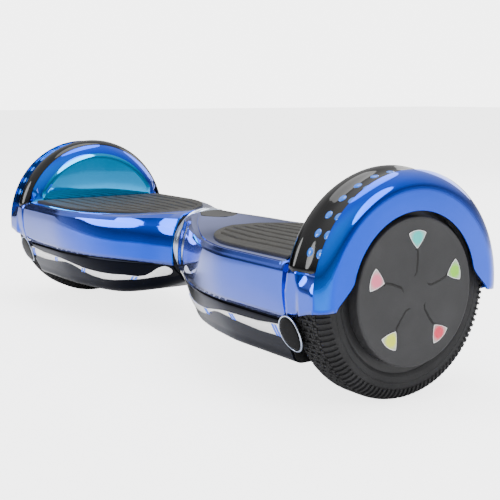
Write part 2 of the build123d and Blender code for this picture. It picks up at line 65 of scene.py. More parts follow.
def boxMm(node):
    low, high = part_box(node)
    return [value * 1000 for value in low], [value * 1000 for value in high]


tyreLow, tyreHigh = boxMm("right_tyre")
shellLow, shellHigh = boxMm("right_upper_shell")
lowerLow, lowerHigh = boxMm("right_lower_shell")
matLow, matHigh = boxMm("right_foot_mat")
trimHigh = boxMm("right_fender_trim")[1]
coverLow, coverHigh = boxMm("right_hub_cover")
ringLow, ringHigh = boxMm("right_joint_ring")

axleZ = (tyreLow[2] + tyreHigh[2]) / 2
tyreRadius = tyreHigh[2] - axleZ
halfLength = shellHigh[0]
crownRadius = trimHigh[2] - axleZ
frontLimit = cadBounds[0][1] * 1000 + 0.05    # the fenders stay just inside the overall depth
rearLimit = cadBounds[1][1] * 1000 - 0.05
seamZ = shellLow[2]
floorZ = lowerLow[2]
deckEnd = lowerHigh[0]
jointX = lowerLow[0]


def clamp(value, low=0.0, high=1.0):
    return max(low, min(high, value))


def mix(a, b, t):
    return a + (b - a) * t


def ease(t):
    t = clamp(t)
    return t * t * (3 - 2 * t)


def along(stops, x):
    # straight-line value between (x, value) stops
    if x <= stops[0][0]:
        return stops[0][1]
    for (x0, v0), (x1, v1) in zip(stops, stops[1:]):
        if x <= x1:
            return mix(v0, v1, (x - x0) / (x1 - x0))
    return stops[-1][1]


def linearColor(hexText):
    # sRGB hex to the linear colour that a shader socket takes
    channels = [int(hexText[i:i + 2], 16) / 255 for i in (1, 3, 5)]
    return [c / 12.92 if c <= 0.04045 else ((c + 0.055) / 1.055) ** 2.4 for c in channels] + [1.0]


def addNode(tree, kind, settings=None, links=None):
    # settings go to the node's own properties or its input sockets; links are input socket -> output socket
    node = tree.nodes.new(kind)
    for key, value in (settings or {}).items():
        if isinstance(key, int) or key in node.inputs:
            node.inputs[key].default_value = value
        else:
            setattr(node, key, value)
    for key, source in (links or {}).items():
        tree.links.new(source, node.inputs[key])
    return node


def newMaterial(name):
    material = bpy.data.materials.new(name)
    material.use_nodes = True
    tree = material.node_tree
    tree.nodes.clear()
    output = addNode(tree, "ShaderNodeOutputMaterial")
    shader = addNode(tree, "ShaderNodeBsdfPrincipled")
    tree.links.new(shader.outputs["BSDF"], output.inputs["Surface"])
    coords = addNode(tree, "ShaderNodeTexCoord")
    return material, tree, shader, coords.outputs["Object"]


def colorRamp(tree, source, stops):
    node = addNode(tree, "ShaderNodeValToRGB", links={"Fac": source})
    ramp = node.color_ramp
    while len(ramp.elements) < len(stops):
        ramp.elements.new(0.5)
    for element, (place, color) in zip(ramp.elements, stops):
        element.position = place
        element.color = color if isinstance(color, list) else [color, color, color, 1.0]
    return node.outputs["Color"]


def platedShell(name, tints, ripple, wall=None):
    # Electroplated ABS: a tinted mirror skin whose blue turns from azure to lavender as it leans away;
    # the upright wall between deck and wheel gets a paler cyan tint, a painted reflection of the light it gathers
    material, tree, shader, coords = newMaterial(name)
    lean = addNode(tree, "ShaderNodeLayerWeight", {"Blend": 0.5})
    cloud = addNode(tree, "ShaderNodeTexNoise", {"Scale": 1000 / 70, "Detail": 2.0}, {"Vector": coords})
    tint = colorRamp(tree, lean.outputs["Facing"], [(place, linearColor(tone)) for place, tone in tints])
    shade = colorRamp(tree, cloud.outputs["Fac"], [(0.3, 0.86), (0.7, 1.0)])
    if wall:
        place = addNode(tree, "ShaderNodeSeparateXYZ", links={0: coords})
        out = addNode(tree, "ShaderNodeMath", {"operation": "ABSOLUTE"}, {0: place.outputs["X"]})
        fromWall = addNode(tree, "ShaderNodeMath", {"operation": "COMPARE", 1: deckEnd / 1000, 2: 0.0012},
                           {0: out.outputs["Value"]})
        above = addNode(tree, "ShaderNodeMapRange", {"From Min": 0.108, "From Max": 0.113},
                        {"Value": place.outputs["Z"]})
        # painted reflection: mask of the upright wall by the wheel, tinted cyan as if lit by light from the mat
        paintedWallReflection = addNode(tree, "ShaderNodeMath", {"operation": "MULTIPLY"},
                        {0: fromWall.outputs["Value"], 1: above.outputs["Result"]})
        tint = addNode(tree, "ShaderNodeMixRGB", {"Color2": linearColor(wall)},
                       {"Fac": paintedWallReflection.outputs["Value"], "Color1": tint}).outputs["Color"]
    color = addNode(tree, "ShaderNodeMixRGB", {"blend_type": "MULTIPLY", "Fac": 1.0},
                    {"Color1": tint, "Color2": shade})
    rough = addNode(tree, "ShaderNodeMapRange", {"To Min": 0.03, "To Max": 0.07}, {"Value": cloud.outputs["Fac"]})
    wave = addNode(tree, "ShaderNodeTexNoise", {"Scale": 1000 / 45, "Detail": 1.0}, {"Vector": coords})
    bump = addNode(tree, "ShaderNodeBump", {"Strength": ripple, "Distance": 0.0006}, {"Height": wave.outputs["Fac"]})
    shader.inputs["Metallic"].default_value = 0.93
    tree.links.new(color.outputs["Color"], shader.inputs["Base Color"])
    tree.links.new(rough.outputs["Result"], shader.inputs["Roughness"])
    tree.links.new(bump.outputs["Normal"], shader.inputs["Normal"])
    return material


def grained(name, dark, light, roughness=(0.4, 0.6), grain=1.0, depth=0.0001, metallic=0.0, coat=0.0, ior=1.5):
    # A moulded, cast or rubber surface: fine grain of a real size in mm, with slow colour variation over it
    material, tree, shader, coords = newMaterial(name)
    slow = addNode(tree, "ShaderNodeTexNoise", {"Scale": 1000 / 28, "Detail": 3.0}, {"Vector": coords})
    fine = addNode(tree, "ShaderNodeTexNoise", {"Scale": 1000 / grain, "Detail": 2.0}, {"Vector": coords})
    color = colorRamp(tree, slow.outputs["Fac"], [(0.3, linearColor(dark)), (0.7, linearColor(light))])
    rough = addNode(tree, "ShaderNodeMapRange", {"To Min": roughness[0], "To Max": roughness[1]},
                    {"Value": fine.outputs["Fac"]})
    bump = addNode(tree, "ShaderNodeBump", {"Strength": 0.5, "Distance": depth}, {"Height": fine.outputs["Fac"]})
    shader.inputs["Metallic"].default_value = metallic
    shader.inputs["Coat Weight"].default_value = coat
    shader.inputs["Coat Roughness"].default_value = 0.05
    shader.inputs["IOR"].default_value = ior
    tree.links.new(color, shader.inputs["Base Color"])
    tree.links.new(rough.outputs["Result"], shader.inputs["Roughness"])
    tree.links.new(bump.outputs["Normal"], shader.inputs["Normal"])
    return material


def glowing(name, edge, core, strength, centre=(0, 0, 0), reach=8.0):
    # Translucent polycarbonate over a lamp: brightest at its centre, paler towards the rim
    material, tree, shader, coords = newMaterial(name)
    place = addNode(tree, "ShaderNodeMapping", {"Location": [-value / 1000 for value in centre]}, {"Vector": coords})
    distance = addNode(tree, "ShaderNodeVectorMath", {"operation": "LENGTH"}, {0: place.outputs["Vector"]})
    part = addNode(tree, "ShaderNodeMath", {"operation": "MULTIPLY", 1: 1000 / reach}, {0: distance.outputs["Value"]})
    fleck = addNode(tree, "ShaderNodeTexNoise", {"Scale": 1000 / 2.5, "Detail": 1.0}, {"Vector": coords})
    spread = addNode(tree, "ShaderNodeMath", {"operation": "MULTIPLY_ADD", 1: 0.12},
                     {0: fleck.outputs["Fac"], 2: part.outputs["Value"]})
    color = colorRamp(tree, spread.outputs["Value"], [(0.42, linearColor(core)), (0.85, linearColor(edge))])
    shader.inputs["Roughness"].default_value = 0.18
    shader.inputs["Coat Weight"].default_value = 0.8
    shader.inputs["Emission Strength"].default_value = strength
    tree.links.new(color, shader.inputs["Base Color"])
    tree.links.new(color, shader.inputs["Emission Color"])
    return material


def circuitBoard(name):
    # Green solder mask on glass fibre, with copper tracks showing through
    material, tree, shader, coords = newMaterial(name)
    tracks = addNode(tree, "ShaderNodeTexBrick", {"Scale": 1000 / 24, "Mortar Size": 0.03,
                                                  "Color1": linearColor("#0F5A2C"), "Color2": linearColor("#14683A"),
                                                  "Mortar": linearColor("#3F8F55")}, {"Vector": coords})
    shader.inputs["Roughness"].default_value = 0.35
    tree.links.new(tracks.outputs["Color"], shader.inputs["Base Color"])
    return material


# the wall colour is a painted reflection on the upright wall between deck and wheel
blueShell = platedShell("electroplatedBlueAbs", [(0.04, "#0074FF"), (0.13, "#0A50F0"), (0.24, "#2257F2"),
                                                 (0.45, "#5B78F5"), (0.85, "#A9B6FC")], 0.16, wall="#0CB4FF")
darkShell = platedShell("electroplatedNavyAbs", [(0.1, "#04060D"), (0.5, "#080C1A"), (0.9, "#1A2440")], 0.16)
brightRing = grained("platedChrome", "#C9D6F2", "#E6EEFC", (0.06, 0.12), 4.0, 0.00002, metallic=1.0)
blackGloss = grained("polishedBlackPolycarbonate", "#050506", "#0B0B0D", (0.05, 0.1), 3.0, 0.00001, coat=0.3,
                     ior=1.36)
hubGrey = grained("sparkErodedGreyAbs", "#2F2F31", "#38383A", (0.5, 0.66), 0.9, 0.00012)
tyreRubber = grained("mouldedTyreRubber", "#1D1D1F", "#29292B", (0.62, 0.8), 1.6, 0.0002)
matRubber = grained("mouldedMatRubber", "#2A2926", "#383631", (0.55, 0.75), 1.2, 0.0002)
# painted shade: near-black strips for the shading along the wheel cover's sculpted spokes
paintedSpokeShade = grained("blackInlay", "#030303", "#080809", (0.5, 0.6), 1.0, 0.00005)
clearLens = glowing("clearPolycarbonate", "#FFFFFF", "#EEF7FF", 0.45, reach=60.0)
ledBlue = glowing("blueLedWindow", "#1436D8", "#2A6CF0", 0.9, reach=500.0)
dotBlue = glowing("blueLightDot", "#0468D8", "#0474E8", 0.45, reach=500.0)
castAluminium = grained("dieCastAluminium", "#8E9093", "#A7A9AC", (0.35, 0.5), 1.4, 0.0001, metallic=1.0)
zincSteel = grained("zincPlatedSteel", "#8B8C90", "#A2A3A6", (0.25, 0.4), 0.8, 0.00003, metallic=1.0)
laminations = grained("electricalSteel", "#55565B", "#66676C", (0.4, 0.5), 0.6, 0.00005, metallic=1.0)
copperWire = grained("enamelledCopper", "#B5532A", "#CF6E3B", (0.25, 0.4), 0.9, 0.0001, metallic=1.0)
blackNylon = grained("mouldedBlackNylon", "#101011", "#1B1B1D", (0.4, 0.55), 0.9, 0.00008)
acetal = grained("machinedAcetal", "#D9D5C8", "#E7E4DA", (0.35, 0.45), 1.2, 0.00004)
packSleeve = grained("heatShrinkSleeve", "#123A80", "#1A4A9A", (0.3, 0.42), 2.0, 0.0001)
satinBlack = grained("satinBlackAbs", "#020203", "#050507", (0.14, 0.2), 1.4, 0.00002, ior=1.16)
paintedRim = grained("blackPaintedCasting", "#1E1E20", "#29292B", (0.35, 0.5), 1.2, 0.00006)
circuit = circuitBoard("solderMaskBoard")
print("materials made")


def strip(bm, rows, closed=False):
    # a sheet through rows of points, each row extruded from the one before
    verts = [bm.verts.new(point) for point in rows[0]]
    pairs = list(zip(verts, verts[1:])) + ([(verts[-1], verts[0])] if closed else [])
    edges = [bm.edges.new(pair) for pair in pairs]
    for row in rows[1:]:
        grown = bmesh.ops.extrude_edge_only(bm, edges=edges)["geom"]
        fresh = {item for item in grown if isinstance(item, bmesh.types.BMVert)}
        verts = [next(e.other_vert(v) for e in v.link_edges if e.other_vert(v) in fresh) for v in verts]
        for vert, point in zip(verts, row):
            vert.co = point
        pairs = list(zip(verts, verts[1:])) + ([(verts[-1], verts[0])] if closed else [])
        edges = [bm.edges.get(pair) for pair in pairs]


def turned(bm, profile, steps=128, closed=True):
    # a profile of (x, radius) points spun about the axle
    verts = [bm.verts.new((x, 0, axleZ + radius)) for x, radius in profile]
    edges = [bm.edges.new(pair) for pair in zip(verts, verts[1:])]
    if closed:
        edges.append(bm.edges.new((verts[-1], verts[0])))
    bmesh.ops.spin(bm, geom=verts + edges, cent=(0, 0, axleZ), axis=(1, 0, 0), angle=2 * pi, steps=steps,
                   use_merge=True)
    bmesh.ops.remove_doubles(bm, verts=bm.verts, dist=0.001)


def faceOut(bm):
    bmesh.ops.recalc_face_normals(bm, faces=bm.faces)


def faceSheet(bm, towards):
    # an open sheet faces the way that its furthest face should
    faceOut(bm)
    towards = Vector(towards)
    furthest = max(bm.faces, key=lambda face: face.calc_center_median().dot(towards))
    if furthest.normal.dot(towards) < 0:
        bmesh.ops.reverse_faces(bm, faces=bm.faces)


def facePatches(bm, towards):
    # many small separate sheets, each turned on its own
    faceOut(bm)
    for face in bm.faces:
        if face.normal.dot(Vector(towards)) < 0:
            face.normal_flip()


def piece(name, bm, material, side, body, nodes=(), sharp=32, wall=0.0):
    # mirrors the left half's mesh, scales it to metres, ties it to its body and hides the design nodes it replaces
    if side < 0:
        bmesh.ops.scale(bm, vec=(-1, 1, 1), verts=bm.verts)
        bmesh.ops.reverse_faces(bm, faces=bm.faces)
    bmesh.ops.scale(bm, vec=(0.001, 0.001, 0.001), verts=bm.verts)
    prefix = "right_" if side > 0 else "left_"
    mesh = bpy.data.meshes.new(prefix + name)
    bm.to_mesh(mesh)
    bm.free()
    mesh.materials.append(material)
    mesh.shade_smooth()
    mesh.set_sharp_from_angle(angle=radians(sharp))
    item = bpy.data.objects.new(prefix + name, mesh)
    bpy.context.collection.objects.link(item)
    if wall:
        solidify = item.modifiers.new("wall", "SOLIDIFY")
        solidify.thickness = wall / 1000
        solidify.offset = -1
        solidify.use_even_offset = False
    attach(item, prefix + body if body in ("half", "wheel", "mat") else body)
    if nodes:
        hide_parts(*[prefix + node for node in nodes])
    return item


shell = {
    "wall": 2.3,
    "seamGap": 0.5,            # between the upper and the lower shell
    "crown": 0.6,              # how much the deck swells along its middle
    "grooveDepth": 1.1,        # of the line around the deck's edge
    "creasePoint": 9,          # which point of an upper section lies on the crease
    "sideBow": 2.4,            # how far the front bulges between seam and crease
    # along X: top, half width of the deck and of the crease, crease height, half width at the seam, at the floor,
    # and the floor's height
    "stations": [
        (5, 119.0, 13, 33.0, 103, 36, 17, 50.5),
        (24, 116.6, 24, 40.0, 103.6, 43, 27, 44),
        (43, 114.2, 37, 49.5, 104, 52, 38, 38),
        (76, 111.2, 55, 63.5, 104.8, 66.5, 54, 31.6),
        (105, 110.2, 69, 75.0, 105, 76.5, 61, floorZ),
        (132, 110, 78.5, 83.5, 105, 82.5, 66, floorZ),
        (165, 110, 84.5, 88.5, 105, 86, 70, floorZ),
        (deckEnd, 110, 85.0, 89.0, 105, 86, 70, floorZ),
    ],
    "sections": [5, 6.5, 9, 13, 18, 24, 30, 36, 43, 51, 60, 68, 76, 86, 95, 105, 115, 125, 135, 145, 155, 165, 180,
                 195, 210, 222, 231, 236, 239, deckEnd],
    "bulkhead": 1.8,
}


def bodyAt(x):
    # the stations' values at any place along X, on a smooth curve
    stations = shell["stations"]
    index = max(i for i in range(len(stations) - 1) if stations[i][0] <= x or i == 0)
    t = clamp((x - stations[index][0]) / (stations[index + 1][0] - stations[index][0]))
    here, after = stations[index], stations[index + 1]
    before, beyond = stations[max(index - 1, 0)], stations[min(index + 2, len(stations) - 1)]
    values = []
    for k in range(1, 8):
        span = after[0] - here[0]
        slopeIn = span * (after[k] - before[k]) / max(after[0] - before[0], 1) if index > 0 else after[k] - here[k]
        slopeOut = span * (beyond[k] - here[k]) / max(beyond[0] - here[0], 1)
        if index == len(stations) - 2:
            slopeIn = slopeOut = 0.0
        if index == len(stations) - 3:
            slopeOut = 0.0
        cube = t * t * t
        square = t * t
        values.append((2 * cube - 3 * square + 1) * here[k] + (cube - 2 * square + t) * slopeIn
                      + (3 * square - 2 * cube) * after[k] + (cube - square) * slopeOut)
    return values


def frontHalfWidth(x, z):
    # half width of the body at a height, on the face between the floor and the crease
    top, deck, crease, creaseZ, seam, floorHalf, floor = bodyAt(x)
    if z >= seamZ:
        t = clamp((z - seamZ) / (creaseZ - seamZ))
        return mix(seam, crease, t) + shell["sideBow"] * sin(pi * t)
    t = clamp((seamZ - z) / (seamZ - floor))
    return mix(seam, floorHalf, t ** 1.25) + 1.0 * sin(pi * t)


def upperRow(x):
    # a section of the upper shell, from the front seam over the deck to the rear seam
    top, deck, crease, creaseZ, seam, floorHalf, floor = bodyAt(x)
    waist = 1 - ease((x - 20) / 90)
    side = []
    for step in range(8):
        z = mix(seamZ + shell["seamGap"] / 2, creaseZ - 2.2, step / 7)
        side.append((frontHalfWidth(x, z), z))
    side += [(crease + 0.15, creaseZ - 1.1), (crease - 0.15, creaseZ), (crease - 0.8, creaseZ + 0.8)]
    edgeY, edgeZ = deck + 1.6, top - 0.7
    for step in (0.35, 0.7, 1.0):
        swell = sin(pi * step) * waist * 3.2
        y = mix(crease - 0.8, edgeY, step) + swell
        z = mix(creaseZ + 0.8, edgeZ, step) + swell
        side.append((y, z))
    depth = shell["grooveDepth"] * ease((x - 12) / 25)
    side += [(deck + 1.2, top - 0.5), (deck + 0.95, top - 0.5 - depth), (deck + 0.35, top - 0.4 - depth),
             (deck, top - 0.2), (deck - 0.6, top)]
    start = atan2(top - axleZ, deck - 1.6)
    for step in range(1, 18):
        angle = mix(start, pi / 2, step / 17)
        y = (top - axleZ) / tan(angle) if step < 17 else 0.0
        swell = shell["crown"] * (1 - (y / deck) ** 2)
        side.append((y, top + swell))
    front = [(x, -y, z) for y, z in side]
    return front + [(x, -y, z) for px, y, z in reversed(front[:-1])]


def lowerRow(x):
    # a section of the lower shell, from the front seam under the floor to the rear seam
    top, deck, crease, creaseZ, seam, floorHalf, floor = bodyAt(x)
    side = []
    for step in range(9):
        z = mix(seamZ - shell["seamGap"] / 2, floor + 7, step / 8)
        side.append((frontHalfWidth(x, z), z))
    cornerY = frontHalfWidth(x, floor + 7)
    for step in range(1, 6):
        angle = pi / 2 * step / 5
        side.append((cornerY - 9 * (1 - cos(angle)), floor + 7 * (1 - sin(angle))))
    for step in range(1, 9):
        side.append((mix(cornerY - 9, 0, step / 8), floor))
    front = [(x, -y, z) for y, z in side]
    return front + [(x, -y, z) for px, y, z in reversed(front[:-1])]


fender = {
    "panelRadius": 73.0,       # of the wall between deck and wheel
    "round": 16.0,             # of the outer shoulder
    "footZ": 78.0,             # height of the legs' feet
    "openingRadius": 61.0,
    "stripFrom": 246.8,        # the black strip over the crown, along X
    "stripTo": 283.4,
    "stripThickness": 0.9,
    "stripEndAngle": 12.6,
    "stripEase": 11.0,         # degrees over which its hollow runs out below its ends
    "legLength": 46.0,         # how far out the body's side has turned into the fender's leg
    "legLag": 15.0,            # how much later the crown starts near the feet than on top
    "flare": 15.2,             # how much wider the wheel opening is at the feet
    # radius of the crown, then of the strip, at distances from the deck's end: the strip is a glossy band, then a
    # shallow trough for the lights
    "crown": [(0, 73.0), (1.5, 78.5), (4, 83.5), (7, 87.4), (10, 90.0), (14, 91.9), (18, 92.5), (24, 92.6),
              (52, 92.6)],
    "strip": [(6.8, 87.3), (10, 90.0), (14, 91.9), (18, 92.4), (21.5, 91.7), (24.5, 89.8), (27.5, 88.5),
              (32, 87.9), (44, 87.7)],
}


def fenderRows():
    # the fender's sections take over the deck's last one, point by point, as angles and radii about the axle
    base = upperRow(deckEnd)
    polar = [((degrees(atan2(z - axleZ, -y)) + 90) % 360 - 90, sqrt(y * y + (z - axleZ) ** 2)) for x, y, z in base]
    low, creaseAt = polar[0][0], shell["creasePoint"]
    creaseAngle = polar[creaseAt][0]
    outline = sorted(pair for pair in polar if pair[0] <= 90)
    footDrop = axleZ - fender["footZ"]
    foot = -degrees(atan2(footDrop, sqrt(crownRadius ** 2 - footDrop ** 2)))
    last = (len(polar) - 1) // 2

    def evenAngle(index):
        # above the crease the points spread evenly, so that the deck's groove leaves no mark on the fender
        folded = min(index, len(polar) - 1 - index)
        angle = polar[folded][0]
        if folded > creaseAt:
            angle = mix(creaseAngle, 90, (folded - creaseAt) / (last - creaseAt))
        return angle if folded == index else 180 - angle

    def footAngle(front, amount):
        # below the crease the side turns down into the leg
        if front < creaseAngle:
            front = mix(front, mix(foot, creaseAngle, (front - low) / (creaseAngle - low)), amount)
        return front

    def row(x, radiusOf, legBlend=True):
        # radiusOf gives the radius for a place along X and an angle above the axle's height
        points = []
        amount = ease((x - deckEnd) / fender["legLength"])
        spread = ease((x - deckEnd - 0.4) / 5.5)
        for index, (angle, radius) in enumerate(polar):
            angle = mix(angle, evenAngle(index), spread)
            front = min(angle, 180 - angle)
            bodyRadius = along(outline, front) if spread > 0 else radius
            lean = footAngle(front, amount)
            if legBlend:
                lag = fender["legLag"] * (1 - ease((lean - 8) / 18))
                radius = min(max(bodyRadius, radiusOf(x - lag, lean)), crownRadius)
                if x > fender["stripFrom"]:
                    radius = min(radius, seat(x, lean))
            else:
                radius = radiusOf(x, lean)
            lean = lean if angle <= 90 else 180 - lean
            y = clamp(-radius * cos(radians(lean)), frontLimit, rearLimit)
            points.append((x, y, axleZ + radius * sin(radians(lean))))
        return points

    def arch(x, front):
        return along(fender["crown"], max(x - deckEnd, 0)) - (1.5 if x <= deckEnd else 0)

    def hollow(x, front, outside):
        # sunk under the strip, flush with it just past its two ends, then easing back out to the plain fender
        pastEnd = front - fender["stripEndAngle"]
        onStrip = along(fender["strip"], x - deckEnd)
        flush = mix(outside, onStrip, ease((pastEnd + fender["stripEase"] + 1) / fender["stripEase"]))
        return mix(min(flush, outside), onStrip - fender["stripThickness"], ease((pastEnd + 0.5) / 0.9))

    def seat(x, front):
        return hollow(x, front, arch(x, front))

    rows = [row(deckEnd, lambda x, front: fender["panelRadius"] - 1.5)]
    steps = (0.25, 0.8, 1.6, 2.8, 4.2, 5.8, 6.6, fender["stripFrom"] + 0.1 - deckEnd, 7.4, 8.5, 10, 12, 14, 16, 18,
             20, 22, 24, 26, 28, 30, 33, 36)
    rows += [row(deckEnd + step, arch) for step in steps]
    centreX, centreR = halfLength - fender["round"], crownRadius - fender["round"]

    def rounded(x, front):
        return centreR + sqrt(max(fender["round"] ** 2 - (x - centreX) ** 2, 0))

    def lip(x, front):
        return hollow(x, front, rounded(x, front))

    for x, shape in ((278, lip), (280, lip), (282, lip), (283.3, lip), (283.5, rounded), (284.3, rounded)):
        rows.append(row(x, shape, False))
    for angle in (54, 48, 42, 36, 30, 24, 18, 12, 6, 0):
        turn = radians(angle)
        rows.append(row(centreX + fender["round"] * cos(turn), rounded, False))

    def opening(front):
        return fender["openingRadius"] + fender["flare"] * clamp((13 - front) / 16.5) ** 1.6

    for part in (0.06, 0.35, 0.65, 0.94, 1.0):
        rows.append(row(halfLength, lambda x, front: mix(centreR, opening(front), part), False))
    rows.append(row(halfLength - 0.5, lambda x, front: opening(front) - 0.25, False))
    return rows


def makeShells(side):
    bm = bmesh.new()
    strip(bm, [upperRow(x) for x in shell["sections"]] + fenderRows())
    bmesh.ops.remove_doubles(bm, verts=bm.verts, dist=0.0005)
    faceSheet(bm, (1, 0, 0))
    piece("deck_shell", bm, blueShell, side, "half", ["upper_shell"], 30, shell["wall"])

    bm = bmesh.new()
    strip(bm, [lowerRow(x) for x in shell["sections"]])
    faceSheet(bm, (0, 0, -1))
    piece("belly_shell", bm, darkShell, side, "half", ["lower_shell"], 30, shell["wall"])

    # thin walls that close the body at the joint and at the wheel
    bm = bmesh.new()
    for x in (jointX + 0.2, deckEnd - 0.2):
        outline = upperRow(x) + list(reversed(lowerRow(x)))[1:-1]
        verts = [bm.verts.new((px, y * 0.985, axleZ + (z - axleZ) * 0.985)) for px, y, z in outline]
        bmesh.ops.contextual_create(bm, geom=verts)
    grown = bmesh.ops.extrude_face_region(bm, geom=list(bm.faces))["geom"]
    moved = [item for item in grown if isinstance(item, bmesh.types.BMVert)]
    bmesh.ops.translate(bm, vec=(shell["bulkhead"], 0, 0), verts=moved)
    faceOut(bm)
    piece("bulkheads", bm, blackNylon, side, "half", [], 30)


ringLook = {"outer": ringHigh[2] - axleZ, "from": ringLow[0], "to": ringHigh[0]}


def makeRing(side):
    outer, start, end = ringLook["outer"], ringLook["from"], ringLook["to"]
    bm = bmesh.new()
    turned(bm, [(start, 20), (end + 0.4, 20), (end + 0.4, outer - 1.6), (end - 0.1, outer - 0.5), (end - 0.8, outer),
                (end - 1.5, outer - 0.1), (end - 1.9, outer - 0.9), (end - 2.3, outer - 0.9),
                (start + 1.5, outer - 0.1), (start + 0.8, outer), (start + 0.2, outer - 0.5), (start, outer - 1.2)])
    faceOut(bm)
    piece("collar", bm, brightRing, side, "half", ["joint_ring"], 40)


mat = {
    "tip": matLow[0],
    "end": matHigh[0] - 0.3,
    "half": (matHigh[1] - matLow[1]) / 2 - 0.2,
    "fullFrom": 165.0,         # where it has reached its full width
    "top": matHigh[2] - 0.4,
    "base": 109.6,
    "groove": 2.0,             # depth
    "pitch": 14.5,             # between grooves
    "halfWidth": 2.0,          # of a groove
    "slope": 1.1,              # how wide its flank is
    "margin": 6.5,             # plain rim around the grooves
    "columns": 180,
    "rows": 80,
}


def matHalfWidth(x):
    t = clamp((x - mat["tip"]) / (mat["fullFrom"] - mat["tip"]))
    return mat["half"] * sin(pi / 2 * t ** 0.72) ** 0.92


def grooveDepth(x, y, half):
    # lengthways grooves that fan out a little from the tip and stop short of the rim
    spread = mat["pitch"] * mix(0.72, 1.0, clamp((x - mat["tip"]) / 80))
    off = abs((y / spread + 0.5) % 1.0 - 0.5) * spread
    groove = clamp((mat["halfWidth"] + mat["slope"] / 2 - off) / mat["slope"])
    sideRoom = clamp((half - abs(y) - mat["margin"]) / 1.5)
    endRoom = clamp((mat["end"] - x - mat["margin"]) / 1.5) * clamp((x - mat["tip"] - 16) / 3)
    return mat["groove"] * groove * sideRoom * endRoom


def makeMat(side):
    rows = []
    for number in range(mat["rows"] + 1):
        x = mat["tip"] + 0.4 + (mat["end"] - mat["tip"] - 0.4) * (number / mat["rows"]) ** 1.15
        half = matHalfWidth(x)
        row = []
        for step in range(mat["columns"] + 1):
            y = (2 * step / mat["columns"] - 1) * half
            edge = clamp((half - abs(y)) / 1.6)
            rise = sqrt(1 - (1 - edge) ** 2) * (0.35 + 0.65 * ease(half / 9))
            z = mat["base"] + (mat["top"] - mat["base"]) * rise
            row.append((x, y, z - grooveDepth(x, y, half)))
        rows.append(row)
    bm = bmesh.new()
    strip(bm, rows)
    faceSheet(bm, (0, 0, 1))
    piece("ribbed_mat", bm, matRubber, side, "mat", ["foot_mat"], 35, 1.6)


trim = {
    "endAngle": 12.6,
    "columns": (27.8, 38.8),
    "angles": (23.0, 32.6, 42.8, 53.6, 64.3, 75.2, 85.4),
    "dotRadius": 3.7,
    "steps": 120,
    # where its sections' points lie between the inner and the outer edge
    "places": [0.0, 0.006, 0.02, 0.05, 0.1, 0.16, 0.22, 0.28, 0.34, 0.4, 0.46, 0.52, 0.58, 0.66, 0.76, 0.86, 0.94,
               0.98, 1.0],
}


def arcPoint(x, radius, angle):
    return (x, -radius * cos(radians(angle)), axleZ + radius * sin(radians(angle)))


def makeTrim(side):
    start, end = fender["stripFrom"], fender["stripTo"] - 0.1
    rows = []
    for number in range(trim["steps"] + 1):
        angle = mix(trim["endAngle"], 180 - trim["endAngle"], number / trim["steps"])
        fromEnd = min(angle, 180 - angle) - trim["endAngle"]
        near = clamp(fromEnd / 6.0)
        pinch = 0.30 * (1 - sqrt(1 - (1 - near) ** 2))    # rounds the strip's ends
        row = []
        for place in trim["places"]:
            x = mix(start, end, mix(pinch, 1 - pinch, place))
            drop = 0.7 * clamp(1 - min(place, 1 - place) / 0.02) ** 2 + 0.8 * (1 - clamp(fromEnd / 0.8)) ** 2
            row.append(arcPoint(x, along(fender["strip"], x - deckEnd) - drop, angle))
        rows.append(row)
    bm = bmesh.new()
    strip(bm, rows)
    faceSheet(bm, (0, 0, 1))
    piece("crown_strip", bm, blackGloss, side, "half", ["fender_trim"], 40, 0.8)

    bm = bmesh.new()
    for column in trim["columns"]:
        for angle in trim["angles"] + tuple(180 - angle for angle in trim["angles"]):
            place = Vector(arcPoint(deckEnd + column, along(fender["strip"], column) - 0.45, angle))
            tilt = Matrix.Rotation(radians(90 - angle), 4, "X")
            bowl = bmesh.ops.create_uvsphere(bm, u_segments=24, v_segments=8, radius=trim["dotRadius"])["verts"]
            bmesh.ops.scale(bm, vec=(1, 1, 0.3), verts=bowl)
            bmesh.ops.transform(bm, matrix=Matrix.Translation(place) @ tilt, verts=bowl)
    faceOut(bm)
    piece("crown_lights", bm, dotBlue, side, "half", ["fender_lights"], 60)


lamp = {
    "lift": 0.3,
    "leds": (54, 121, 172, 232),
    "ledHalfGap": 1.9,
    "ledHalfWidth": 1.1,
    "ledSlant": 1.8,
    "from": 9.0,
    "to": 237.0,
    "columns": 114,
    # along X: height of the middle, then half the thickness
    "middle": [(9, 62.5), (12, 62), (18, 60.5), (26, 58), (34, 54.6), (42, 51.6), (50, 50), (65, 49), (80, 47.6),
               (95, 47.2), (110, 48.5), (122, 50.5), (130, 52.8), (140, 55), (150, 56.3), (160, 56.5), (180, 55.6),
               (207, 55), (230, 56.4), (237, 57)],
    "half": [(9, 0.6), (11, 2.6), (15, 4.2), (20, 4.5), (26, 4.0), (34, 2.4), (42, 1.5), (50, 1.5), (65, 2.6),
             (80, 3.2), (95, 3.6), (110, 3.2), (122, 2.3), (130, 1.4), (140, 0.8), (150, 1.0), (160, 1.9),
             (180, 3.1), (207, 4.1), (230, 4.9), (237, 4.9)],
}


def frontPoint(x, z, lift):
    # a point that stands off the body's front face by a given lift
    across = (frontHalfWidth(x, z + 1) - frontHalfWidth(x, z - 1)) / 2
    length = sqrt(1 + across * across)
    return (x, -(frontHalfWidth(x, z) + lift / length), z - lift * across / length)


def lampEdges(x):
    return along(lamp["middle"], x), along(lamp["half"], x)


